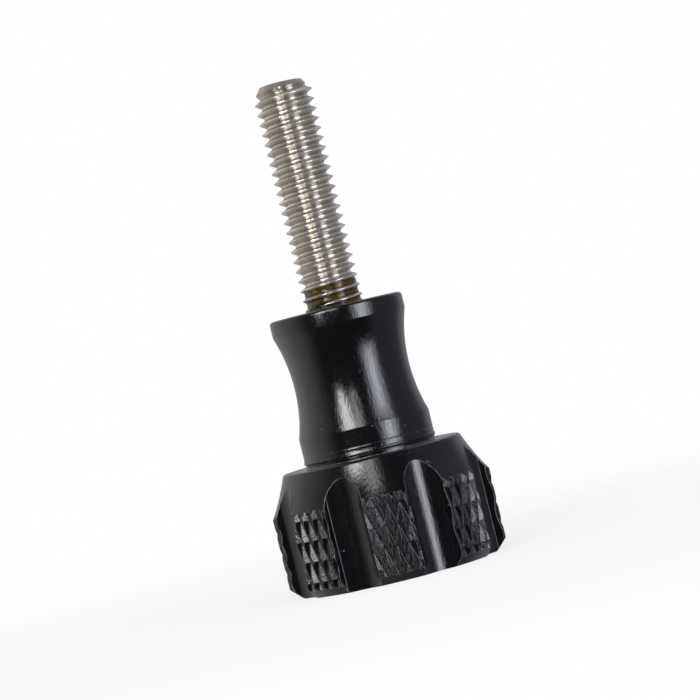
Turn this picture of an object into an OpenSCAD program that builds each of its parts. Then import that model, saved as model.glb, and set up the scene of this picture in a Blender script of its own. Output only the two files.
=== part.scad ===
// Long thumb screw: a turned and fluted aluminium knob with a threaded steel
// stud screwed and bonded into its collar.
// Millimetres, +Z along the stud, origin at the centre of the knob's flat base.

/* [Grip] */
// Diameter over the knurled grip
grip_d = 17.8; // [17:0.1:24]
// Height from the base to the top edge of the knurled band
grip_h = 6.4; // [4:0.1:14]
// Height and width of the chamfer round the base
base_chamfer = 0.9; // [0.3:0.1:1.5]
// Number of finger flutes round the grip
flute_count = 8; // [5:1:10]
// Radius of the cutter that makes each flute
flute_r = 1.95; // [1.2:0.05:2.4]
// Depth of each flute below the outside of the grip
flute_depth = 1.05; // [0.4:0.05:1.3]

/* [Shoulder, neck and collar] */
// Diameter of the flat shoulder on top of the cone
shoulder_d = 14.4; // [12.5:0.1:16]
// Height of the cone, from the knurled band to the shoulder
cone_h = 3.45; // [1.5:0.05:8]
// Diameter of the foot band that rises from the shoulder
foot_d = 10.6; // [9.6:0.1:12]
// Height of the foot band
foot_h = 2.35; // [0.5:0.05:6]
// Height of the hollow neck
neck_h = 8.3; // [5:0.1:12]
// Radius of the hollow curve between the foot band and the collar
neck_curve_r = 13.2; // [10:0.1:40]
// Diameter of the collar that clamps the work
collar_d = 10.8; // [8.8:0.1:13]
// Height of the collar
collar_h = 1.3; // [0.6:0.1:4]
// Radius of the round on the collar's top edge
collar_round = 0.3; // [0.1:0.05:0.5]

/* [Stud] */
// Outside diameter of the M5 thread
stud_d = 4.9; // [4:0.05:6]
// Pitch of the thread
thread_pitch = 0.8; // [0.5:0.05:1]
// Length of the stud that stands out of the collar
stud_out = 18.3; // [6:0.1:40]
// Length of the stud that is screwed into the knob
stud_in = 12; // [5:0.1:15]
// Height of the chamfer at the tip
tip_chamfer_h = 1; // [0.2:0.05:2]
// Width of the chamfer at the tip
tip_chamfer_w = 0.75; // [0.2:0.05:1]
// Height and width of the chamfer at the hidden end
end_chamfer = 0.25; // [0.1:0.05:0.5]

/* [Hole] */
// Play between the stud and the tapped hole, on the radius
thread_play = 0.08; // [0.06:0.01:0.15]
// Width of the countersink outside the thread, on the radius
countersink = 0.2; // [0.16:0.01:0.24]
// Length that the tap drill runs on below the last thread
drill_runout = 1.2; // [0.5:0.1:2]
// Angle across the drill point
drill_point_angle = 118; // [90:1:140]

/* [Thread locker] */
// Height of the cured bead above the collar face
bead_h = 0.15; // [0.05:0.01:0.3]
// Gap between the cured bead and the pieces that it seals, on the radius
bead_gap = 0.02; // [0.01:0.005:0.025]

/* [Hidden] */
$fn = 120;

// How far a cutting shape runs past the surface that it opens
over = 1;

// Heights above the base
shoulder_z = grip_h + cone_h;
neck_z = shoulder_z + foot_h;
collar_z = neck_z + neck_h;
face_z = collar_z + collar_h;
tip_z = face_z + stud_out;
stud_end_z = face_z - stud_in;

// Radii of the turned knob
grip_r = grip_d / 2;
foot_r = foot_d / 2;
collar_r = collar_d / 2;

// The exposed thread is drawn at its outside. Where it is screwed in, the two
// threads are drawn at the pitch cylinder of a 60 degree thread, where they meet.
stud_r = stud_d / 2;
pitch_cylinder_r = stud_r - thread_pitch * 3 / 8 * cos(30);
hole_r = pitch_cylinder_r + thread_play;
drill_r = stud_r - thread_pitch / 2;
drill_end_z = stud_end_z - drill_runout;
drill_point_h = drill_r / tan(drill_point_angle / 2);

// The 90 degree countersink opens the mouth of the hole past the thread. The
// exposed thread starts where the countersink clears it.
mouth_r = stud_r + countersink;
mouth_z = face_z - (mouth_r - hole_r);
thread_z = face_z - (countersink - thread_play);

// The circle of the hollow neck passes through the foot band's top edge and
// the collar's bottom edge, with its centre outside the knob.
neck_mid = [(foot_r + collar_r) / 2, (neck_z + collar_z) / 2];
neck_spread = collar_r - foot_r;
neck_chord = norm([neck_spread, neck_h]);
neck_reach = sqrt(pow(neck_curve_r, 2) - pow(neck_chord / 2, 2));
neck_centre = neck_mid + neck_reach / neck_chord * [neck_h, -neck_spread];
neck_max_r = max(foot_r, collar_r);

// Half outlines of the turned knob, with the radius across and the height up.
module grip_outline() {
    polygon([
        [0, 0],
        [grip_r - base_chamfer, 0],
        [grip_r, base_chamfer],
        [grip_r, grip_h],
        [shoulder_d / 2, shoulder_z],
        [0, shoulder_z]
    ]);
}

module neck_outline() {
    difference() {
        translate([0, neck_z])
            square([neck_max_r, neck_h]);
        translate(neck_centre)
            circle(r = neck_curve_r);
    }
}

module collar_outline() {
    corner = [collar_r - collar_round, face_z - collar_round];
    translate([0, collar_z])
        square([collar_r, collar_h - collar_round]);
    translate([0, collar_z])
        square([corner[0], collar_h]);
    translate(corner)
        circle(r = collar_round);
}

// The turned blank, before its flutes and its hole are cut.
module blank() {
    rotate_extrude()
        grip_outline();
    translate([0, 0, shoulder_z])
        cylinder(r = foot_r, h = foot_h);
    rotate_extrude()
        neck_outline();
    rotate_extrude()
        collar_outline();
}

// Finger flutes run parallel to the axis and fade out on the cone. A lobe of
// the grip faces -Y.
module flutes() {
    step = 360 / flute_count;
    for (i = [0 : flute_count - 1])
        rotate(-90 + (i + 0.5) * step)
            translate([grip_r - flute_depth + flute_r, 0, -over])
                cylinder(r = flute_r, h = shoulder_z + 2 * over);
}

// Blind tapped hole: countersunk mouth, thread, tap drill and drill point.
module stud_hole() {
    translate([0, 0, mouth_z])
        cylinder(r1 = hole_r, r2 = mouth_r + over, h = mouth_r + over - hole_r);
    translate([0, 0, stud_end_z])
        cylinder(r = hole_r, h = stud_in);
    translate([0, 0, drill_end_z])
        cylinder(r = drill_r, h = drill_runout + over);
    translate([0, 0, drill_end_z - drill_point_h])
        cylinder(r1 = 0, r2 = drill_r, h = drill_point_h);
}

module knob() {
    color("#1b1c20")
        difference() {
            blank();
            flutes();
            stud_hole();
        }
}

module stud() {
    color("#a9a39a")
        rotate_extrude()
            polygon([
                [0, stud_end_z],
                [pitch_cylinder_r - end_chamfer, stud_end_z],
                [pitch_cylinder_r, stud_end_z + end_chamfer],
                [pitch_cylinder_r, thread_z],
                [stud_r, thread_z],
                [stud_r, tip_z - tip_chamfer_h],
                [stud_r - tip_chamfer_w, tip_z],
                [0, tip_z]
            ]);
}

// Cured thread locker fills the countersink round the stud and stands up in a
// small bead at the foot of the exposed thread.
module thread_locker() {
    color("#7d7420")
        rotate_extrude()
            polygon([
                [pitch_cylinder_r + bead_gap, mouth_z],
                [hole_r - bead_gap, mouth_z],
                [mouth_r - bead_gap, face_z],
                [stud_r + bead_gap, face_z + bead_h],
                [stud_r + bead_gap, thread_z - bead_gap],
                [pitch_cylinder_r + bead_gap, thread_z - bead_gap]
            ]);
}

knob();
stud();
thread_locker();
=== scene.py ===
"""A long thumb screw standing on a pale floor in soft studio light.

The knob is one turned, fluted and knurled bar of black anodised aluminium. A rolled stainless
stud is screwed into it, and cured thread locker shows in the last turns above the collar.
Lengths are millimetres until a finished mesh is scaled to metres.
"""

import logging
import math
from dataclasses import dataclass
from enum import Enum
from typing import Any

import bmesh
import bpy
from bmesh.types import BMEdge, BMesh, BMVert
from bpy.types import Material, NodeOutputs, NodeSocket, NodeTree, Object
from mathutils import Matrix, Vector, noise


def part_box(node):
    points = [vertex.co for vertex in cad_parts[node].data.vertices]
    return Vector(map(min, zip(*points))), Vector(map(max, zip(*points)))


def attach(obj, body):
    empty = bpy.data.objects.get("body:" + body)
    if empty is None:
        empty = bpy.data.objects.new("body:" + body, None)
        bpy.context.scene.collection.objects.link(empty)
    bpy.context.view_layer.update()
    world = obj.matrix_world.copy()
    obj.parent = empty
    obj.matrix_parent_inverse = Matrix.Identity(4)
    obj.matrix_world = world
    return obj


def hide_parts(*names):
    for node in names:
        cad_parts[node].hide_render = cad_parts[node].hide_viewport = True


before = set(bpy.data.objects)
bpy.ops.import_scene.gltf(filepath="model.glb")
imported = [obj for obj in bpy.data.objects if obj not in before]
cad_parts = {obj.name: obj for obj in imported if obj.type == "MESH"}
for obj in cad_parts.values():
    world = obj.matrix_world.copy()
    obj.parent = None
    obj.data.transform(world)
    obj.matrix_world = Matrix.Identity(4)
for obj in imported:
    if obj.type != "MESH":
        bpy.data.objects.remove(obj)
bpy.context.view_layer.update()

MM = 0.001
BODY = "root"
WELD = 1e-4
ON_PLANE = 1e-6
LOG = logging.getLogger("thumb_screw")

Point = tuple[float, float]
Place = tuple[float, float, float]
Colour = tuple[float, float, float, float]
# Where a pattern starts to count, and where it counts in full.
Span = tuple[float, float]


class LampFace(Enum):
    """The outline of a lamp's face."""

    OVAL = "ELLIPSE"
    BOX = "RECTANGLE"


class ToolLines(Enum):
    """Which way a tool has left its lines."""

    ROUND = "round the axis"
    ALONG = "along the axis"


def linear(hex_colour: str) -> Colour:
    """Turns an sRGB hex colour into linear red, green and blue.

    Args:
        hex_colour: the colour, such as "#a0b0c0".

    Returns:
        The linear colour with an alpha of 1.
    """
    digits = hex_colour.lstrip("#")
    values = [int(digits[i : i + 2], 16) / 255 for i in (0, 2, 4)]
    red, green, blue = (v / 12.92 if v <= 0.04045 else ((v + 0.055) / 1.055) ** 2.4 for v in values)
    return red, green, blue, 1.0


def per_mm(size: float) -> float:
    """The texture scale, on Object coordinates in metres, that gives features of this many mm."""
    return 1 / (size * MM)


def add_node(
    tree: NodeTree, kind: str, inputs: dict[str | int, Any] | tuple[Any, ...] = (), **settings: Any
) -> NodeOutputs:
    """Adds one shader node with its settings, values and links.

    Args:
        tree: the node tree that gets the node.
        kind: the node's type name, without its ShaderNode prefix.
        inputs: a value, or another node's output to link, for each input name or number, or for
            the first inputs in order.
        **settings: the node's own properties.

    Returns:
        The new node's outputs.
    """
    node = tree.nodes.new("ShaderNode" + kind)
    for name, value in settings.items():
        setattr(node, name, value)
    named = inputs if isinstance(inputs, dict) else dict(enumerate(inputs))
    for key, value in named.items():
        if isinstance(value, NodeSocket):
            tree.links.new(value, node.inputs[key])
        else:
            node.inputs[key].default_value = value
    return node.outputs


def new_material(name: str) -> tuple[Material, NodeTree]:
    """Makes a node material of this name and gives it, with its empty node tree."""
    material = bpy.data.materials.new(name)
    material.use_nodes = True
    material.node_tree.nodes.clear()
    return material, material.node_tree


def ramped(tree: NodeTree, share: NodeSocket, stops: list[tuple[float, Colour]]) -> NodeSocket:
    """Turns a share into a colour.

    Args:
        tree: the node tree.
        share: how far along the stops to look, from 0 to 1.
        stops: place and linear colour of each stop, in order of place.

    Returns:
        The colour.
    """
    colours = add_node(tree, "ValToRGB", (share,))["Color"]
    elements = colours.node.color_ramp.elements
    for i, (place, colour) in enumerate(stops):
        stop = elements[i] if i < 2 else elements.new(place)
        stop.position = place
        stop.color = colour
    return colours


def plan_and_radius(tree: NodeTree) -> tuple[NodeSocket, NodeSocket, NodeSocket]:
    """Splits a point's place into its parts.

    Args:
        tree: the material's node tree.

    Returns:
        The place in plan, the distance from the axis, and the height.
    """
    place = add_node(tree, "TexCoord")["Object"]
    parts = add_node(tree, "SeparateXYZ", {"Vector": place})
    plan = add_node(tree, "CombineXYZ", {"X": parts["X"], "Y": parts["Y"]})[0]
    radius = add_node(tree, "VectorMath", (plan,), operation="LENGTH")["Value"]
    return plan, radius, parts["Z"]


def thread_phase(tree: NodeTree, pitch: float, crest_z: float) -> NodeSocket:
    """Gives how far up its pitch a point on the thread is.

    Args:
        tree: the material's node tree.
        pitch: the thread's pitch.
        crest_z: the height of a crest on the +X side.

    Returns:
        0 at a crest, about a half in the root above it, and up to 1 at the next crest.
    """
    place = add_node(tree, "TexCoord")["Object"]
    parts = add_node(tree, "SeparateXYZ", {"Vector": place})
    angle = add_node(tree, "Math", (parts["Y"], parts["X"]), operation="ARCTAN2")[0]
    turns = add_node(tree, "Math", (angle, math.tau), operation="DIVIDE")[0]
    rise = add_node(tree, "Math", (parts["Z"], crest_z * MM), operation="SUBTRACT")[0]
    pitches = add_node(tree, "Math", (rise, pitch * MM), operation="DIVIDE")[0]
    phase = add_node(tree, "Math", (pitches, turns), operation="SUBTRACT")[0]
    return add_node(tree, "Math", (phase,), operation="FRACT")[0]


@dataclass(frozen=True)
class AnodisedAluminium:
    """Black hard-dyed anodising on turned aluminium.

    The oxide layer is a clear mineral film over a black dye, so it shines like dark glass and not
    like bare metal. The etched grain under it breaks each highlight into short upright fibres,
    pale dots along the sharpest edges are partly bare metal where the anodising is worn through
    and partly painted glints of light, and a few specks of dust lie on it.
    """

    name: str
    colour: str = "#07080b"
    # Pale colour on sharp edges: partly worn bare metal, partly painted glints of light.
    bare_and_glint_colour: str = "#b9bbbf"
    dust_colour: str = "#8b8d90"
    ior: float = 1.8
    roughness: float = 0.15
    roughness_spread: float = 0.05
    grain: float = 0.13
    grain_stretch: float = 4.0
    grain_height: float = 0.013
    grain_levels: Span = (0.3, 0.7)
    lines: ToolLines = ToolLines.ROUND
    line_pitch: float = 0.16
    line_height: float = 0.0006
    line_squeeze: float = 0.03
    edge_radius: float = 0.06
    edge_turn: Span = (0.985, 0.90)
    edge_wear_and_glint: Span = (0.1, 0.9)
    edge_dot: float = 0.22
    edge_dot_levels: Span = (0.42, 0.62)
    dust_spacing: float = 2.2
    speck_reach: Span = (0.030, 0.015)
    fibre_curl: float = 1.6
    fibre_width: Span = (0.004, 0.001)
    fibre_patch: float = 1.1
    fibre_levels: Span = (0.81, 0.84)

    def line_vector(self, tree: NodeTree) -> NodeSocket:
        """Gives coordinates that are constant along the tool lines.

        Args:
            tree: the material's node tree.

        Returns:
            Radius and height for lines that go round the axis, or the plan position, stretched
            along the height, for lines that run along it.
        """
        if self.lines is ToolLines.ALONG:
            place = add_node(tree, "TexCoord")["Object"]
            scale = (1, 1, self.line_squeeze)
            return add_node(tree, "Mapping", {"Vector": place, "Scale": scale})[0]
        _, radius, height = plan_and_radius(tree)
        return add_node(tree, "CombineXYZ", {"X": radius, "Z": height})[0]

    def wear_and_glint(self, tree: NodeTree, eased: NodeSocket) -> NodeSocket:
        """Finds the broken pale dots along sharp edges, partly worn bare metal and partly painted
        glints.

        Args:
            tree: the material's node tree.
            eased: the normal, eased over the edges.

        Returns:
            How much pale edge colour shows, worn bare metal and painted glint together, from 0 to
            1.
        """
        normal = add_node(tree, "NewGeometry")["Normal"]
        flat = add_node(tree, "VectorMath", (normal, eased), operation="DOT_PRODUCT")
        place = add_node(tree, "TexCoord")["Object"]
        edge_dots = add_node(
            tree, "TexNoise", {"Vector": place, "Scale": per_mm(self.edge_dot), "Detail": 4.0}
        )
        edge, worn_and_glinting = (
            add_node(tree, "MapRange", (value, *levels, *cover))[0]
            for value, levels, cover in (
                (flat["Value"], self.edge_turn, ()),
                (edge_dots["Fac"], self.edge_dot_levels, self.edge_wear_and_glint),
            )
        )
        return add_node(tree, "Math", (edge, worn_and_glinting), operation="MULTIPLY")[0]

    def dust(self, tree: NodeTree) -> NodeSocket:
        """Scatters specks of dust and a few short, curled fibres.

        Args:
            tree: the material's node tree.

        Returns:
            How much the dust hides, from 0 to 1.
        """
        place = add_node(tree, "TexCoord")["Object"]
        cell = add_node(tree, "TexVoronoi", {"Vector": place, "Scale": per_mm(self.dust_spacing)})
        curl, where = (
            add_node(
                tree, "TexNoise", {"Vector": place, "Scale": per_mm(size), "Detail": detail}
            )["Fac"]
            for size, detail in ((self.fibre_curl, 1.0), (self.fibre_patch, 0.0))
        )
        from_curl = add_node(tree, "Math", (curl, 0.5), operation="SUBTRACT")[0]
        off = add_node(tree, "Math", (from_curl,), operation="ABSOLUTE")[0]
        speck, fibre, there = (
            add_node(tree, "MapRange", (value, *levels))[0]
            for value, levels in (
                (cell["Distance"], self.speck_reach),
                (off, self.fibre_width),
                (where, self.fibre_levels),
            )
        )
        fibres = add_node(tree, "Math", (fibre, there), operation="MULTIPLY")[0]
        return add_node(tree, "Math", (speck, fibres), operation="MAXIMUM")[0]

    def build(self) -> Material:
        """Makes the material.

        Returns:
            The node material.
        """
        material, tree = new_material(self.name)
        place = add_node(tree, "TexCoord")["Object"]
        scale = (1, 1, 1 / self.grain_stretch)
        upright = add_node(tree, "Mapping", {"Vector": place, "Scale": scale})[0]
        grain, lines = (
            add_node(
                tree, "TexNoise", {"Vector": vector, "Scale": per_mm(size), "Detail": detail}
            )["Fac"]
            for vector, size, detail in (
                (upright, self.grain, 3.0),
                (self.line_vector(tree), self.line_pitch, 2.0),
            )
        )
        eased = add_node(tree, "Bevel", {"Radius": self.edge_radius * MM}, samples=6)[0]
        normal = eased
        for height, rise in ((lines, self.line_height), (grain, self.grain_height)):
            normal = add_node(tree, "Bump", {
                "Height": height, "Distance": rise * MM, "Strength": 1.0, "Normal": normal,
            })["Normal"]
        colour = linear(self.colour)
        for share, other in (
            # Pale dots along sharp edges: partly worn bare metal, partly painted glints.
            (self.wear_and_glint(tree, eased), self.bare_and_glint_colour),
            (self.dust(tree), self.dust_colour),
        ):
            colour = add_node(
                tree, "Mix", {"Factor": share, 6: colour, 7: linear(other)}, data_type="RGBA"
            )[2]
        spread = (self.roughness - self.roughness_spread, self.roughness + self.roughness_spread)
        rough = add_node(tree, "MapRange", (grain, *self.grain_levels, *spread))[0]
        shader = add_node(tree, "BsdfPrincipled", {
            "Base Color": colour, "Roughness": rough, "IOR": self.ior, "Normal": normal,
        })
        add_node(tree, "OutputMaterial", {"Surface": shader["BSDF"]})
        return material


@dataclass(frozen=True)
class RolledStainless:
    """Rolled stainless steel thread.

    The thread's colour is painted light and shade: pale painted highlights on the crests and
    roots, and darker flanks as painted shade, darkest on the flank that faces down. The rollers
    draw the steel along the thread, so a light is drawn out across the flanks and stays narrow
    along them. The steel is a warm grey with faint streaks that follow the thread, and the
    turned tip is plain. The painted light and shade by phase go from a crest, over the root above
    it, to the next crest.
    """

    pitch: float
    crest_z: float
    tip_z: float
    name: str = "rolled_stainless_steel"
    # Painted light and shade by thread phase: painted highlights at crests and roots, painted shade
    # on the flanks.
    painted_light_by_phase: tuple[tuple[float, str], ...] = (
        (0.0, "#fdfaf5"), (0.07, "#e6e2da"), (0.14, "#c3bcac"), (0.21, "#bab3a3"),
        (0.28, "#d6d0c3"), (0.38, "#fdfaf5"), (0.46, "#fbf8f2"), (0.55, "#c3bcac"),
        (0.62, "#aca597"), (0.70, "#b1aa9b"), (0.78, "#cfc8bb"), (0.86, "#e3dfd6"),
        (0.94, "#f9f6f0"), (1.0, "#fdfaf5"),
    )
    tip_colour: str = "#bdb7ab"
    tip_blend: float = 0.1
    shade_colour: str = "#8f887b"
    shade: float = 0.35
    shade_levels: Span = (0.62, 0.38)
    metallic: float = 0.81
    roughness: float = 0.24
    roughness_spread: float = 0.04
    rough_levels: Span = (0.35, 0.65)
    stretch: float = 0.85
    stretch_turn: float = 0.25
    streak: float = 0.06
    streak_height: float = 0.0003
    streak_squeeze: float = 0.12
    patch: float = 0.35

    def build(self) -> Material:
        """Makes the material.

        Returns:
            The node material.
        """
        material, tree = new_material(self.name)
        plan, radius, height = plan_and_radius(tree)
        scale = (self.streak_squeeze, self.streak_squeeze, self.streak_squeeze)
        around = add_node(tree, "Mapping", {"Vector": plan, "Scale": scale})[0]
        rise = add_node(tree, "CombineXYZ", {"X": radius, "Z": height})[0]
        along = add_node(tree, "VectorMath", (around, rise), operation="ADD")[0]
        streaks, patches = (
            add_node(
                tree, "TexNoise", {"Vector": along, "Scale": per_mm(size), "Detail": detail}
            )["Fac"]
            for size, detail in ((self.streak, 3.0), (self.patch, 4.0))
        )
        tip_start = ((self.tip_z - self.tip_blend) * MM, (self.tip_z + self.tip_blend) * MM)
        spread = (self.roughness + self.roughness_spread, self.roughness - self.roughness_spread)
        on_tip, dull, rough = (
            add_node(tree, "MapRange", (value, *levels, *given))[0]
            for value, levels, given in (
                (height, tip_start, ()),
                (patches, self.shade_levels, (0.0, self.shade)),
                (patches, self.rough_levels, spread),
            )
        )
        phase = thread_phase(tree, self.pitch, self.crest_z)
        # The colour by phase is painted light and shade, not the steel's own colour.
        colour = ramped(tree, phase, [(at, linear(shown)) for at, shown in self.painted_light_by_phase])
        for share, other in ((on_tip, self.tip_colour), (dull, self.shade_colour)):
            colour = add_node(
                tree, "Mix", {"Factor": share, 6: colour, 7: linear(other)}, data_type="RGBA"
            )[2]
        bump = add_node(
            tree, "Bump", {"Height": streaks, "Distance": self.streak_height * MM, "Strength": 1.0}
        )
        around_axis = add_node(tree, "Tangent", direction_type="RADIAL", axis="Z")
        shader = add_node(tree, "BsdfPrincipled", {
            "Base Color": colour,
            "Metallic": self.metallic,
            "Roughness": rough,
            "Anisotropic": self.stretch,
            "Anisotropic Rotation": self.stretch_turn,
            "Tangent": around_axis["Tangent"],
            "Normal": bump["Normal"],
        })
        add_node(tree, "OutputMaterial", {"Surface": shader["BSDF"]})
        return material


@dataclass(frozen=True)
class CuredLocker:
    """Cured thread locker: a resin film over the steel.

    It is clear and golden where it is thick, with small yellow-green spots, darker brown towards
    each crest, dirty grey on the collar, and glossy enough for small pale glints.
    """

    pitch: float
    crest_z: float
    name: str = "cured_thread_locker"
    colour: str = "#7a5a18"
    ior: float = 1.5
    roughness: float = 0.16
    clearness: float = 0.6
    dirt_colour: str = "#2f2e22"
    dirt: float = 0.25
    dirt_height: float = 0.006
    dirt_levels: Span = (0.44, 0.62)
    dirt_cover: float = 0.85
    green_colour: str = "#8f9a12"
    green_patch: float = 0.9
    green_levels: Span = (0.60, 0.70)
    edge_colour: str = "#1a1205"
    edge_levels: Span = (0.34, 0.20)

    def build(self) -> Material:
        """Makes the material.

        Returns:
            The node material.
        """
        material, tree = new_material(self.name)
        place = add_node(tree, "TexCoord")["Object"]
        dirt, green = (
            add_node(
                tree, "TexNoise", {"Vector": place, "Scale": per_mm(size), "Detail": detail}
            )["Fac"]
            for size, detail in ((self.dirt, 4.0), (self.green_patch, 2.0))
        )
        phase = thread_phase(tree, self.pitch, self.crest_z)
        off_crest = add_node(tree, "Math", (phase, 0.5), operation="PINGPONG")[0]
        colour = linear(self.colour)
        for value, levels, cover, other in (
            (dirt, self.dirt_levels, self.dirt_cover, self.dirt_colour),
            (green, self.green_levels, 1.0, self.green_colour),
            (off_crest, self.edge_levels, 1.0, self.edge_colour),
        ):
            share = add_node(tree, "MapRange", (value, *levels, 0.0, cover))[0]
            colour = add_node(
                tree, "Mix", {"Factor": share, 6: colour, 7: linear(other)}, data_type="RGBA"
            )[2]
        bump = add_node(
            tree, "Bump", {"Height": dirt, "Distance": self.dirt_height * MM, "Strength": 1.0}
        )
        shader = add_node(tree, "BsdfPrincipled", {
            "Base Color": colour,
            "Roughness": self.roughness,
            "IOR": self.ior,
            "Transmission Weight": self.clearness,
            "Normal": bump["Normal"],
        })
        add_node(tree, "OutputMaterial", {"Surface": shader["BSDF"]})
        return material


def arc(centre: Point, radius: float, start: float, end: float, steps: int) -> list[Point]:
    """Gives points along an arc.

    Args:
        centre: the arc's centre.
        radius: the arc's radius.
        start: the angle of the first point, in degrees.
        end: the angle of the last point, in degrees.
        steps: the number of stretches between the points.

    Returns:
        The points, first and last included.
    """
    angles = [math.radians(start + (end - start) * i / steps) for i in range(steps + 1)]
    return [(centre[0] + radius * math.cos(a), centre[1] + radius * math.sin(a)) for a in angles]


def rounded(before: Point, corner: Point, after: Point, radius: float, steps: int) -> list[Point]:
    """Rounds one corner of an outline with an arc that touches both sides.

    Args:
        before: the outline's point before the corner.
        corner: the corner.
        after: the point after the corner.
        radius: the radius of the round.
        steps: the number of stretches along the arc.

    Returns:
        The points that replace the corner.
    """
    here = Vector(corner)
    back = (Vector(before) - here).normalized()
    ahead = (Vector(after) - here).normalized()
    half = back.angle(ahead) / 2
    centre = here + (back + ahead).normalized() * (radius / math.sin(half))
    first = here + back * (radius / math.tan(half)) - centre
    last = here + ahead * (radius / math.tan(half)) - centre
    turn = first.angle_signed(last)
    points = []
    for i in range(steps + 1):
        spoke = first.copy()
        spoke.rotate(Matrix.Rotation(-turn * i / steps, 2))
        points.append((centre.x + spoke.x, centre.y + spoke.y))
    return points


def only(parts: list[Any], kind: type) -> list[Any]:
    """The parts of one kind, out of what a bmesh operator gives."""
    return [part for part in parts if isinstance(part, kind)]


def spun(outline: list[Point], steps: int, rise: float = 0.0, closed: bool = False) -> BMesh:
    """Takes an outline once round the axis.

    Args:
        outline: radius and height of each point.
        steps: the number of stretches round the axis.
        rise: how far the outline climbs on the way.
        closed: whether the outline goes on from its last point to its first.

    Returns:
        The surface.
    """
    bm = bmesh.new()
    verts = [bm.verts.new((r, 0, z)) for r, z in outline]
    following = verts[1:] + verts[:1] if closed else verts[1:]
    edges = [bm.edges.new(pair) for pair in zip(verts, following)]
    bmesh.ops.spin(
        bm, geom=verts + edges, cent=(0, 0, 0), axis=(0, 0, 1), dvec=(0, 0, rise / steps),
        angle=math.tau, steps=steps, use_merge=rise == 0, use_duplicate=False,
    )
    return bm


def cut_off(bm: BMesh, place: Place, outwards: Place) -> list[BMEdge]:
    """Cuts off what lies beyond a plane.

    Args:
        bm: the shape.
        place: a point on the plane.
        outwards: the plane's normal, on the side that goes.

    Returns:
        The edges of the cut.
    """
    cut = bmesh.ops.bisect_plane(
        bm, geom=bm.verts[:] + bm.edges[:] + bm.faces[:], dist=ON_PLANE, plane_co=place,
        plane_no=outwards, clear_outer=True,
    )
    return only(cut["geom_cut"], BMEdge)


def scale_outwards(vert: BMVert, factor: float) -> None:
    """Multiplies a vertex's distance from the axis."""
    vert.co.x *= factor
    vert.co.y *= factor


def solid_object(name: str, bm: BMesh, material: Material) -> Object:
    """Makes an object of a bmesh, in millimetres, and frees the bmesh.

    Its faces turn outwards. Its points and faces are put in order of place, so that each run
    gives the same mesh.

    Args:
        name: the object's name.
        bm: the shape.
        material: the finish of all its faces.

    Returns:
        The object, linked to the scene.
    """
    bmesh.ops.recalc_face_normals(bm, faces=bm.faces)
    verts = sorted(bm.verts, key=lambda v: v.co[:])
    for i, v in enumerate(verts):
        v.index = i
    faces = []
    for f in bm.faces:
        ring = [v.index for v in f.verts]
        first = ring.index(min(ring))
        faces.append(ring[first:] + ring[:first])
    mesh = bpy.data.meshes.new(name)
    mesh.from_pydata([v.co for v in verts], [], sorted(faces))
    bm.free()
    mesh.materials.append(material)
    piece = bpy.data.objects.new(name, mesh)
    bpy.context.scene.collection.objects.link(piece)
    return piece


def trimmed(base: Object, tool: Object) -> Object:
    """Keeps what two solids share and deletes the tool. Each face keeps its own finish.

    Args:
        base: the solid that is trimmed.
        tool: the solid that it is trimmed to.

    Returns:
        The base, with its new mesh.
    """
    modifier = base.modifiers.new("trim", "BOOLEAN")
    modifier.operation = "INTERSECT"
    modifier.solver = "EXACT"
    modifier.object = tool
    modifier.material_mode = "TRANSFER"
    graph = bpy.context.evaluated_depsgraph_get()
    mesh = bpy.data.meshes.new_from_object(base.evaluated_get(graph))
    base.modifiers.clear()
    base.data = mesh
    bpy.data.objects.remove(tool)
    return base


def finish_piece(piece: Object, node: str, smooth_angle: float) -> None:
    """Scales a piece to metres, shades it and puts it in the frame in place of its CAD node.

    Args:
        piece: the finished piece, in millimetres.
        node: the CAD node that the piece stands for.
        smooth_angle: edges that turn more than this many degrees stay sharp.
    """
    mesh = piece.data
    mesh.transform(Matrix.Scale(MM, 4))
    mesh.shade_smooth()
    mesh.set_sharp_from_angle(angle=math.radians(smooth_angle))
    mesh.update()
    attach(piece, BODY)
    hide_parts(node)
    LOG.info("%s: %d faces", piece.name, len(mesh.polygons))


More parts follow.
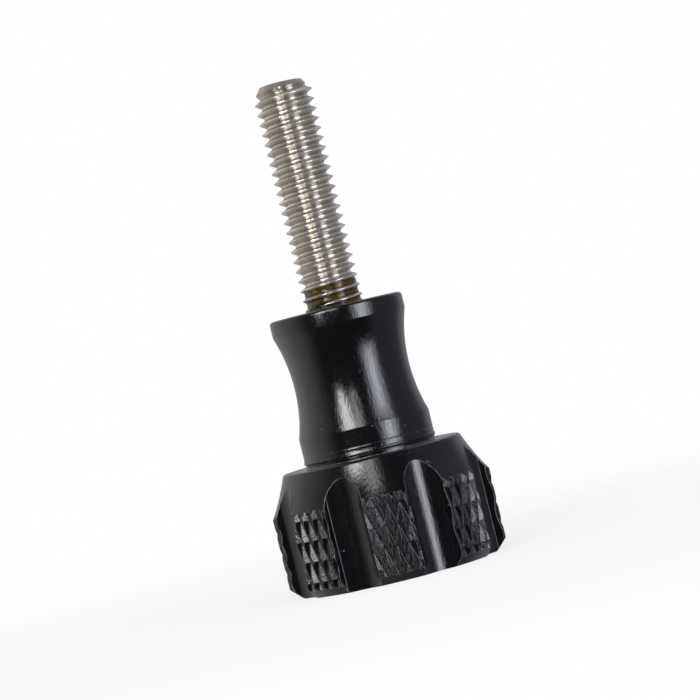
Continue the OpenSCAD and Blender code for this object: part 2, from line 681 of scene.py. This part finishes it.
@dataclass
class Knob:
    """The turned, fluted and knurled aluminium knob."""

    grip_r: float
    height: float
    grip_h: float = 6.4
    base_chamfer: float = 0.9
    base_round: float = 0.08
    shoulder_r: float = 7.2
    shoulder_z: float = 9.80
    shoulder_round: float = 0.28
    cone_hollow: float = 0.10
    foot_r: float = 5.3
    # The undercut, the small lip and the tool line below the plain foot band, each point as its
    # distance outside foot_r and above shoulder_z.
    foot_steps: tuple[Point, ...] = (
        (-0.04, 0.0), (-0.05, 0.14), (-0.03, 0.29), (0.05, 0.38), (0.067, 0.42), (0.062, 0.46),
        (0.008, 0.61), (0.0, 0.65), (0.0, 0.89), (-0.022, 0.965), (0.0, 1.04),
    )
    neck_z: float = 12.2
    neck_curve_r: float = 13.2
    collar_r: float = 5.4
    collar_h: float = 1.3
    collar_round: float = 0.3
    mouth_r: float = 2.65
    hole_r: float = 2.53
    hole_end_z: float = 9.8
    drill_r: float = 2.05
    drill_end_z: float = 8.6
    drill_point_h: float = 1.2
    flute_count: int = 8
    flute_floor_r: float = 7.62
    flute_floor_curve_r: float = 2.5
    flute_floor_turn: float = 34.0
    flute_side_r: float = 0.06
    flute_side_turn: float = 70
    flute_edge: float = 0.06
    lobe_r: float = 8.87
    lobe_steps: int = 16
    knurl_count: int = 56
    knurl_row: float = 1.626
    knurl_top_row_z: float = 6.17
    knurl_phase: float = 16.7
    knurl_peak_r: float = 8.845
    knurl_depth: float = 0.228
    knurl_valley: float = 0.04
    knurl_slope: float = 0.311
    knurl_dent: float = 0.01
    knurl_wander: float = 0.03
    knurl_seed: int = 7
    knurl_wander_scale: float = 3.7
    over: float = 0.3
    past_end: float = 1.0
    steps: int = 300

    def neck_arc(self) -> list[Point]:
        """The hollow of the neck, from the foot band up to the collar."""
        low = Vector((self.foot_r, self.neck_z))
        high = Vector((self.collar_r, self.height - self.collar_h))
        chord = high - low
        reach = math.sqrt(self.neck_curve_r**2 - (chord.length / 2) ** 2)
        out = Vector((chord.y, -chord.x)).normalized()
        centre = (low + high) / 2 + out * reach
        start, end = (
            math.degrees(math.atan2(point.y - centre.y, point.x - centre.x)) % 360
            for point in (low, high)
        )
        return arc(tuple(centre), self.neck_curve_r, start, end, steps=30)

    def cone(self, stock_r: float) -> list[Point]:
        """Gives the slightly hollow cone from the stock round the grip up to the shoulder.

        Args:
            stock_r: the radius of the stock.

        Returns:
            Radius and height of each point.
        """
        steps = 12
        low = Vector((self.grip_r, self.grip_h))
        rise = Vector((self.shoulder_r, self.shoulder_z)) - low
        inwards = Vector((-rise.y, rise.x)).normalized() * self.cone_hollow
        points = [
            low + rise * i / steps + inwards * 4 * (i / steps) * (1 - i / steps)
            for i in range(steps + 1)
        ]
        back = (low - points[1]) * (stock_r - low.x) / (low.x - points[1].x)
        return [tuple(low + back)] + [tuple(point) for point in points]

    def outline(self) -> list[Point]:
        """Gives the half outline of the turned blank, with stock left on the grip's outside.

        Returns:
            Radius and height of each point, from the middle of the base, up the outside and down
            the blind hole.
        """
        stock_r = self.grip_r + self.over
        base = (self.grip_r - self.base_chamfer, 0.0)
        chamfer_end = (stock_r, self.base_chamfer + self.over)
        cone = self.cone(stock_r)
        foot = [(self.foot_r + out, self.shoulder_z + up) for out, up in self.foot_steps]
        collar_centre = (self.collar_r - self.collar_round, self.height - self.collar_round)
        mouth_depth = self.mouth_r - self.hole_r
        return [
            (0.0, 0.0),
            *rounded((0.0, 0.0), base, chamfer_end, self.base_round, steps=5),
            chamfer_end,
            *cone[:-1],
            *rounded(cone[-2], cone[-1], foot[0], self.shoulder_round, steps=7),
            *foot,
            *self.neck_arc(),
            *arc(collar_centre, self.collar_round, 0, 90, steps=10),
            (self.mouth_r, self.height),
            (self.hole_r, self.height - mouth_depth),
            (self.hole_r, self.hole_end_z),
            (self.drill_r, self.hole_end_z),
            (self.drill_r, self.drill_end_z),
            (0.0, self.drill_end_z - self.drill_point_h),
        ]

    def blank(self) -> BMesh:
        """The turned blank."""
        bm = spun(self.outline(), self.steps)
        bmesh.ops.remove_doubles(bm, verts=bm.verts, dist=WELD / 10)
        return bm

    def flute_section(self) -> list[Point]:
        """Gives one flute's section, from the middle of its floor to its broken right edge.

        Returns:
            Distance from the flute's middle line and from the knob's axis, for each point.
        """
        turn, side_turn = self.flute_floor_turn, self.flute_side_turn
        middle = (0.0, self.flute_floor_r + self.flute_floor_curve_r)
        reach = self.flute_floor_curve_r - self.flute_side_r
        side = (
            reach * math.sin(math.radians(turn)),
            middle[1] - reach * math.cos(math.radians(turn)),
        )
        floor = arc(middle, self.flute_floor_curve_r, -90, turn - 90, steps=9)
        wall = arc(side, self.flute_side_r, turn - 90, side_turn - 90, steps=8)
        rise = math.radians(side_turn)
        start = Vector(wall[-1])
        along = Vector((math.cos(rise), math.sin(rise)))
        lean = start.dot(along)
        length = math.sqrt(lean**2 - start.length_squared + self.lobe_r**2) - lean
        corner = start + along * length
        beyond = corner + Vector((corner.y, -corner.x)) * 0.05
        edge = rounded(wall[-1], tuple(corner), tuple(beyond), self.flute_edge, steps=4)
        return floor + wall[1:] + edge

    def fluted_bar(self) -> BMesh:
        """Draws a bar with the section of the grip, taller than the knob."""
        half = self.flute_section()
        flute = [(-u, r) for u, r in reversed(half)] + half[1:]
        edge = math.atan2(half[-1][0], half[-1][1])
        step = math.tau / self.flute_count
        lobe = [edge + (step - 2 * edge) * i / self.lobe_steps for i in range(1, self.lobe_steps)]
        flute += [(self.lobe_r * math.sin(a), self.lobe_r * math.cos(a)) for a in lobe]
        bm = bmesh.new()
        ring = []
        for k in range(self.flute_count):
            place = math.pi / 2 - (k + 0.5) * step
            out = Vector((math.cos(place), math.sin(place), 0))
            right = Vector((out.y, -out.x, 0))
            below = Vector((0, 0, self.past_end))
            ring += [bm.verts.new(right * u + out * r - below) for u, r in flute]
        base = bm.faces.new(ring)
        top = only(bmesh.ops.extrude_face_region(bm, geom=[base])["geom"], BMVert)
        bmesh.ops.translate(bm, verts=top, vec=(0, 0, self.height + 2 * self.past_end))
        return bm

    def knurled_bar(self) -> BMesh:
        """Draws a bar with a diamond knurl round its lower end.

        A flat sheet of pyramids is trimmed to one turn, rolled up and closed.

        Returns:
            The closed bar, taller than the knob.
        """
        half_width = math.pi * self.grip_r / self.knurl_count
        half_height = self.knurl_row
        low, high = -self.over, self.grip_h + 3 * self.over
        rows = (high - low) / half_height
        cells = 2 * math.ceil((self.knurl_count + rows + 4) / 2)
        bm = bmesh.new()
        bmesh.ops.create_grid(bm, x_segments=cells, y_segments=cells, size=cells / 2)
        diagonal = math.sqrt(2) / 2
        turn = Matrix.Rotation(math.radians(45), 4, "Z")
        shape = Matrix.Diagonal((half_width / diagonal, half_height / diagonal, 1, 1))
        row = round((self.knurl_top_row_z - 3 * half_height) / half_height)
        shift = (0, self.knurl_top_row_z - row * half_height, 0)
        bmesh.ops.transform(bm, matrix=Matrix.Translation(shift) @ shape @ turn, verts=bm.verts)
        turn_length = half_width * self.knurl_count
        outside = [
            f
            for f in bm.faces
            if abs(f.calc_center_median().x) > turn_length + half_width
            or not low - half_height < f.calc_center_median().y < high + half_height
        ]
        bmesh.ops.delete(bm, geom=outside, context="FACES")
        self.raise_pyramids(bm, turn_length - 4 * half_width)
        for place, outwards in (
            ((turn_length, 0, 0), (1, 0, 0)),
            ((-turn_length, 0, 0), (-1, 0, 0)),
            ((0, high, 0), (0, 1, 0)),
            ((0, low, 0), (0, -1, 0)),
        ):
            cut_off(bm, place, outwards)
        phase = math.radians(self.knurl_phase)
        for v in bm.verts:
            angle = math.pi * v.co.x / turn_length + phase
            r = self.knurl_peak_r - self.knurl_depth + v.co.z
            v.co = (r * math.cos(angle), r * math.sin(angle), v.co.y)
        bmesh.ops.remove_doubles(bm, verts=bm.verts, dist=WELD)
        self.close_bar(bm, (low + high) / 2)
        return bm

    def raise_pyramids(self, bm: BMesh, reach: float) -> None:
        """Raises a blunt, slightly dented pyramid on each diamond, as a rolled knurl leaves it.

        Args:
            bm: the flat sheet of diamonds.
            reach: how far from the middle the pyramids wander, so that the sheet's ends still meet.
        """
        diamonds = bm.faces[:]
        for thickness, depth in ((self.knurl_valley, 0.0), (self.knurl_slope, self.knurl_depth)):
            bmesh.ops.inset_individual(
                bm, faces=diamonds, thickness=thickness, depth=depth, use_even_offset=True
            )
        noise.seed_set(self.knurl_seed)
        for face in diamonds:
            middle = face.calc_center_median()
            if abs(middle.x) < reach:
                step = noise.noise_vector(middle * self.knurl_wander_scale) * self.knurl_wander
                for v in face.verts:
                    v.co += Vector((step.x, step.y * 2, step.z))
        bmesh.ops.poke(bm, faces=diamonds, offset=-self.knurl_dent)

    def close_bar(self, bm: BMesh, middle: float) -> None:
        """Lengthens a rolled sheet past both ends of the knob and closes it.

        Args:
            bm: the sheet, rolled round the axis.
            middle: the height of its middle.
        """
        for end_z, is_top in ((-self.past_end, False), (self.height + self.past_end, True)):
            rim = [e for e in bm.edges if e.is_boundary and (e.verts[0].co.z > middle) is is_top]
            grown = bmesh.ops.extrude_edge_only(bm, edges=rim)["geom"]
            for v in only(grown, BMVert):
                v.co.z = end_z
            loop = [e for e in only(grown, BMEdge) if e.is_boundary]
            bmesh.ops.contextual_create(bm, geom=loop)

    def build(self, turned: Material, milled: Material, knurled: Material) -> None:
        """Makes the knob.

        Args:
            turned: the finish of the turned surfaces.
            milled: the finish of the flutes.
            knurled: the finish of the knurl.
        """
        piece = solid_object("knob_body", self.blank(), turned)
        grip = solid_object("grip", self.knurled_bar(), knurled)
        flutes = solid_object("flutes", self.fluted_bar(), milled)
        piece = trimmed(piece, trimmed(grip, flutes))
        finish_piece(piece, "knob", smooth_angle=12)


@dataclass
class Stud:
    """The rolled M5 stud, threaded from end to end."""

    crest_r: float = 2.385
    pitch: float = 0.8
    low_z: float = 9.8
    high_z: float = 40.1
    phase_z: float = 39.17
    tip_r: float = 1.70
    tip_chamfer_h: float = 1.0
    tip_chamfer_w: float = 0.75
    end_chamfer: float = 0.4
    crest_flat: float = 0.05
    crest_round: float = 0.035
    root_round: float = 0.155
    steps: int = 90

    def profile(self) -> list[Point]:
        """Gives one pitch of the thread, from the middle of a root to the next.

        The flanks stand at 60 degrees to each other and touch the round of the root.

        Returns:
            Radius and height of each point, with the crest in the middle.
        """
        half = self.crest_flat / 2
        depth = (self.pitch / 2 - half) * math.sqrt(3) - self.root_round
        middle_r = self.crest_r - depth + self.root_round
        low = arc((middle_r, -self.pitch / 2), self.root_round, 180, 120, steps=6)
        crest = (self.crest_r, -half)
        points = low + rounded(low[-1], crest, (self.crest_r, half), self.crest_round, steps=3)
        return points + [(r, -z) for r, z in reversed(points)]

    def envelope(self, z: float) -> float:
        """The largest radius that the chamfers at the two ends leave at this height."""
        slope = self.tip_chamfer_w / self.tip_chamfer_h
        tip = self.tip_r + (self.high_z - z) * slope
        end = self.crest_r - self.end_chamfer + (z - self.low_z)
        return min(tip, end)

    def helix(self, turns: int) -> BMesh:
        """Winds one turn of the thread and copies it up the axis.

        Args:
            turns: the least number of turns.

        Returns:
            The open thread, with its lowest turn starting at height 0.
        """
        bm = spun(self.profile(), self.steps, rise=self.pitch)
        made = 1
        while made < turns:
            copy = bmesh.ops.duplicate(bm, geom=bm.verts[:] + bm.edges[:] + bm.faces[:])["geom"]
            lifted = only(copy, BMVert)
            bmesh.ops.translate(bm, verts=lifted, vec=(0, 0, self.pitch * made))
            made *= 2
        bmesh.ops.remove_doubles(bm, verts=bm.verts, dist=WELD)
        return bm

    def build(self, finish: Material) -> None:
        """Makes the stud.

        Args:
            finish: the steel's finish.
        """
        turns = math.ceil((self.high_z - self.low_z) / self.pitch) + 2
        start = self.phase_z - self.pitch * turns
        bm = self.helix(turns + 2)
        bmesh.ops.translate(bm, verts=bm.verts, vec=(0, 0, start))
        for height, outwards in ((self.high_z, 1), (self.low_z, -1)):
            rim = cut_off(bm, (0, 0, height), (0, 0, outwards))
            bmesh.ops.contextual_create(bm, geom=rim)
        for v in bm.verts:
            r = math.hypot(v.co.x, v.co.y)
            limit = self.envelope(v.co.z)
            if r > limit:
                scale_outwards(v, limit / r)
        piece = solid_object("threaded_stud", bm, finish)
        finish_piece(piece, "stud", smooth_angle=40)


@dataclass
class ThreadLocker:
    """The cured film in the last turns of the thread and its bead on the collar."""

    face_z: float
    pitch: float
    crest_z: float
    film_r: float = 2.13
    climb: float = 0.10
    climb_power: float = 3.0
    ripple: float = 0.03
    ripple_scale: float = 1.3
    foot_flare: float = 0.26
    foot_h: float = 0.16
    foot_r: float = 2.60
    foot_gap: float = 0.02
    lump_rise: float = 0.26
    lump_turn: float = 232.0
    lump_width: float = 24.0
    lump_top: float = 0.75
    lump_scale: float = 3.1
    top_z: float = 23.85
    top_spread: float = 0.16
    top_scale: float = 0.7
    top_sink: float = 0.4
    inner_r: float = 1.80
    rows: int = 36
    steps: int = 160

    def outline(self) -> list[Point]:
        """Gives the plain section of the film, before it follows the thread.

        Returns:
            Radius and height of each point, from the inside at the bottom, round the bead and up
            the outside.
        """
        low = self.face_z + self.foot_gap
        rise = (self.top_z - low) / self.rows
        outside = [(self.film_r, low + rise * i) for i in range(self.rows + 1)]
        bottom = [(self.inner_r, self.face_z - 0.3), (self.foot_r, self.face_z - 0.1)]
        return bottom + outside + [(self.inner_r, self.top_z + 0.05)]

    def surface_r(self, angle: float, z: float) -> float:
        """Gives the film's outer radius.

        Args:
            angle: the direction from the axis, in radians.
            z: the height.

        Returns:
            The radius, which climbs against the crests, flares on to the collar and swells into a
            lump on one side.
        """
        turns = (z - self.crest_z) / self.pitch - angle / math.tau
        near_crest = (0.5 + 0.5 * math.cos(turns * math.tau)) ** self.climb_power
        up = z - self.face_z
        place = Vector((2 * math.cos(angle), 2 * math.sin(angle), 2.5 * z))
        rough = noise.noise(place * self.ripple_scale)
        r = self.film_r + self.climb * near_crest + self.ripple * rough
        r += self.foot_flare * math.exp(-up / self.foot_h)
        off = (math.degrees(angle) - self.lump_turn + 180) % 360 - 180
        side = math.exp(-((off / self.lump_width) ** 2))
        top = max(0.0, 1 - (up / self.lump_top) ** 2)
        r += self.lump_rise * side * top * (1 + 0.5 * noise.noise(place * self.lump_scale))
        round_place = place * Vector((self.top_scale, self.top_scale, 0)).length
        end = self.top_z - self.top_spread * (1 + noise.noise(round_place))
        return r - self.top_sink * max(0.0, z - end) / self.top_spread

    def build(self, finish: Material) -> None:
        """Makes the film and its bead.

        Args:
            finish: the resin's finish.
        """
        bm = spun(self.outline(), self.steps, closed=True)
        for v in bm.verts:
            r = math.hypot(v.co.x, v.co.y)
            if abs(r - self.film_r) < 1e-3:
                scale_outwards(v, self.surface_r(math.atan2(v.co.y, v.co.x), v.co.z) / r)
        piece = solid_object("locker_film", bm, finish)
        finish_piece(piece, "thread_locker", smooth_angle=60)


@dataclass(frozen=True)
class Lamp:
    """A lamp with an even face that looks at the screw.

    Angles are degrees: to the right of the way to the camera, up, and how far its top leans to the
    left. Sizes are metres. A radiance of 1 is white.
    """

    name: str
    azimuth: float
    elevation: float
    width: float
    height: float
    radiance: float
    face: LampFace
    colour: str = "#ffffff"
    distance: float = 0.5
    lean: float = 0.0


@dataclass
class Studio:
    """The pale floor, the surroundings, the lamps and the camera."""

    axis_height: float = 18.2
    side_step: float = 0.346
    distance: float = 233.0
    view_turn: float = -1.3
    roll: float = 13.8
    lens: float = 150.7
    floor_size: float = 4.0
    floor_colour: str = "#f4f4f4"
    shadow_reach: Span = (0.02, 0.09)
    least_white: float = 0.78
    white: str = "#ffffff"
    fill: float = 0.5
    left_tint: str = "#fffdfc"
    right_tint: str = "#f1f4ff"
    # What the shiny surfaces mirror at eye level, above and below it: the azimuth and the
    # brightness of each stop, where 1 is white.
    level_stops: tuple[Point, ...] = (
        (-180, 0.40), (-150, 0.50), (-123, 0.66), (-97, 0.50), (-80, 0.42), (-71, 0.28),
        (-60, 0.12), (-48, 0.03), (50, 0.03), (68, 0.18), (120, 0.18), (138, 0.45), (180, 0.40),
    )
    above_stops: tuple[Point, ...] = (
        (-180, 0.95), (-150, 0.85), (-125, 0.42), (-97, 0.20), (-70, 0.12), (-50, 0.03),
        (50, 0.03), (68, 0.16), (120, 0.30), (150, 0.85), (180, 0.95),
    )
    below_stops: tuple[Point, ...] = ((-180, 0.20), (-90, 0.25), (0, 0.03), (90, 0.15), (180, 0.20))
    above_rise: Span = (0.35, 0.75)
    below_rise: Span = (-0.50, -0.75)
    lamps: tuple[Lamp, ...] = (
        Lamp("left_softbox", -27.8, 27, 0.155, 0.36, 7.2, LampFace.OVAL, "#fffefc", lean=-8),
        Lamp("left_reflector", -6.5, 33, 0.08, 0.42, 3.0, LampFace.BOX),
        Lamp("right_softbox", 43.0, 8, 0.27, 0.44, 2.3, LampFace.BOX, "#f1f4ff"),
        Lamp("right_lamp", 42.5, 6, 0.10, 0.36, 3.2, LampFace.OVAL, "#f1f4ff"),
    )

    def direction(self, azimuth: float, elevation: float) -> Vector:
        """The unit vector this many degrees right of the way to the camera, and this many up."""
        turn = math.radians(azimuth + self.view_turn)
        lift = math.radians(elevation)
        flat = math.cos(lift)
        return Vector((math.sin(turn) * flat, -math.cos(turn) * flat, math.sin(lift)))

    def camera(self) -> None:
        """Places the camera level with the middle of the screw and turns it about its own axis."""
        back = self.direction(0, 0)
        right = self.direction(90, 0)
        up = Vector((0, 0, 1))
        lean = math.radians(self.roll)
        image_up = up * math.cos(lean) + right * math.sin(lean)
        image_right = image_up.cross(back)
        place = (up * self.axis_height + right * self.side_step + back * self.distance) * MM
        turn = Matrix((image_right, image_up, back)).transposed().to_4x4()
        data = bpy.data.cameras.new("camera")
        data.lens = self.lens
        data.sensor_width = 36
        data.clip_start = 0.01
        data.clip_end = 20
        camera = bpy.data.objects.new("camera", data)
        camera.matrix_world = Matrix.Translation(place) @ turn
        bpy.context.scene.collection.objects.link(camera)
        bpy.context.scene.camera = camera

    def hang(self, lamp: Lamp) -> None:
        """Hangs a lamp so that it faces the screw."""
        data = bpy.data.lights.new(lamp.name, "AREA")
        data.shape = lamp.face.value
        data.size = lamp.width
        data.size_y = lamp.height
        data.color = linear(lamp.colour)[:3]
        data.energy = lamp.radiance * lamp.width * lamp.height * math.pi
        if lamp.face is LampFace.OVAL:
            data.energy *= math.pi / 4
        light = bpy.data.objects.new(lamp.name, data)
        away = self.direction(lamp.azimuth, lamp.elevation)
        light.matrix_world = (
            Matrix.Translation(away * lamp.distance)
            @ away.to_track_quat("Z", "Y").to_matrix().to_4x4()
            @ Matrix.Rotation(math.radians(lamp.lean), 4, "Z")
        )
        light.visible_camera = False
        bpy.context.scene.collection.objects.link(light)

    def azimuth_ramp(
        self, tree: NodeTree, share: NodeSocket, stops: tuple[Point, ...]
    ) -> NodeSocket:
        """Gives the brightness of the surroundings by azimuth.

        Args:
            tree: the world's node tree.
            share: the azimuth, from 0 behind, over the left, the camera and the right, to 1.
            stops: azimuth and brightness of each stop, where a brightness of 1 is white.

        Returns:
            The colour.
        """
        coloured = []
        for azimuth, level in stops:
            red, green, blue, _ = linear(self.left_tint if azimuth < -45 else self.right_tint)
            place = max((azimuth + self.view_turn + 180) / 360, 0)
            coloured.append((place, (level * red, level * green, level * blue, 1.0)))
        return ramped(tree, share, coloured)

    def surroundings(self) -> None:
        """Sets a white background, soft fill light, and what the shiny surfaces mirror.

        White cards stand at the sides and behind. The room behind the camera is dark, and so is
        the table behind the screw.
        """
        world = bpy.data.worlds.new("surroundings")
        bpy.context.scene.world = world
        world.use_nodes = True
        tree = world.node_tree
        tree.nodes.clear()
        place = add_node(tree, "TexCoord")["Generated"]
        parts = add_node(tree, "SeparateXYZ", {"Vector": place})
        front = add_node(tree, "Math", (parts["Y"], -1.0), operation="MULTIPLY")[0]
        angle = add_node(tree, "Math", (parts["X"], front), operation="ARCTAN2")[0]
        share = add_node(tree, "MapRange", (angle, -math.pi, math.pi))[0]
        colour = self.azimuth_ramp(tree, share, self.level_stops)
        for rise, stops in (
            (self.above_rise, self.above_stops),
            (self.below_rise, self.below_stops),
        ):
            part = add_node(tree, "MapRange", (parts["Z"], *rise))[0]
            other = self.azimuth_ramp(tree, share, stops)
            colour = add_node(
                tree, "Mix", {"Factor": part, 6: colour, 7: other}, data_type="RGBA"
            )[2]
        mirrored, fill, white = (
            add_node(tree, "Background", look)[0]
            for look in ((colour,), (linear(self.white), self.fill), (linear(self.white),))
        )
        path = add_node(tree, "LightPath")
        rays = (path["Is Glossy Ray"], path["Is Transmission Ray"])
        shiny = add_node(tree, "Math", rays, operation="MAXIMUM")[0]
        lit = add_node(tree, "MixShader", (shiny, fill, mirrored))[0]
        seen = add_node(tree, "MixShader", (path["Is Camera Ray"], lit, white))
        add_node(tree, "OutputWorld", {"Surface": seen[0]})

    def floor(self) -> None:
        """Lays the pale floor, which keeps the screw's shadow."""
        bm = bmesh.new()
        bmesh.ops.create_grid(bm, x_segments=1, y_segments=1, size=self.floor_size / 2)
        material, tree = new_material("pale_floor")
        diffuse = add_node(tree, "BsdfDiffuse", {"Color": linear(self.floor_colour)})[0]
        white = add_node(tree, "Emission", {"Color": linear(self.white)})[0]
        place = add_node(tree, "TexCoord")["Object"]
        away = add_node(tree, "VectorMath", (place,), operation="LENGTH")["Value"]
        levels = (away, *self.shadow_reach, self.least_white)
        share = add_node(tree, "MapRange", levels, interpolation_type="SMOOTHSTEP")["Result"]
        camera_ray = add_node(tree, "LightPath")["Is Camera Ray"]
        seen = add_node(tree, "Math", (camera_ray, share), operation="MULTIPLY")[0]
        mixed = add_node(tree, "MixShader", (seen, diffuse, white))[0]
        add_node(tree, "OutputMaterial", {"Surface": mixed})
        plane = solid_object("floor", bm, material)
        plane.visible_glossy = False

    def build(self) -> None:
        """Sets up the whole studio."""
        self.camera()
        self.surroundings()
        for lamp in self.lamps:
            self.hang(lamp)
        self.floor()
        bpy.context.scene.view_settings.view_transform = "Standard"


def main() -> None:
    """Builds the studio and the three pieces of the screw."""
    logging.basicConfig(level=logging.INFO, format="%(name)s: %(message)s")
    Studio().build()
    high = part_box("knob")[1] / MM
    turned = AnodisedAluminium("turned_black_anodising").build()
    milled = AnodisedAluminium("milled_black_anodising", lines=ToolLines.ALONG).build()
    knurled = AnodisedAluminium(
        "knurled_black_anodising",
        grain=0.24,
        grain_stretch=0.45,
        grain_height=0.03,
        edge_radius=0.03,
        # The knurl's pale edge dots are partly worn metal and partly painted glints.
        edge_wear_and_glint=(0.1, 0.7),
    ).build()
    Knob(grip_r=high.x, height=high.z).build(turned, milled, knurled)
    stud_low, stud_high = (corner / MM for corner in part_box("stud"))
    stud = Stud(low_z=stud_low.z, high_z=stud_high.z)
    steel = RolledStainless(stud.pitch, stud.phase_z, stud.high_z - stud.tip_chamfer_h).build()
    stud.build(steel)
    resin = CuredLocker(stud.pitch, stud.phase_z).build()
    ThreadLocker(high.z, stud.pitch, stud.phase_z).build(resin)


if __name__ == "__main__":
    main()
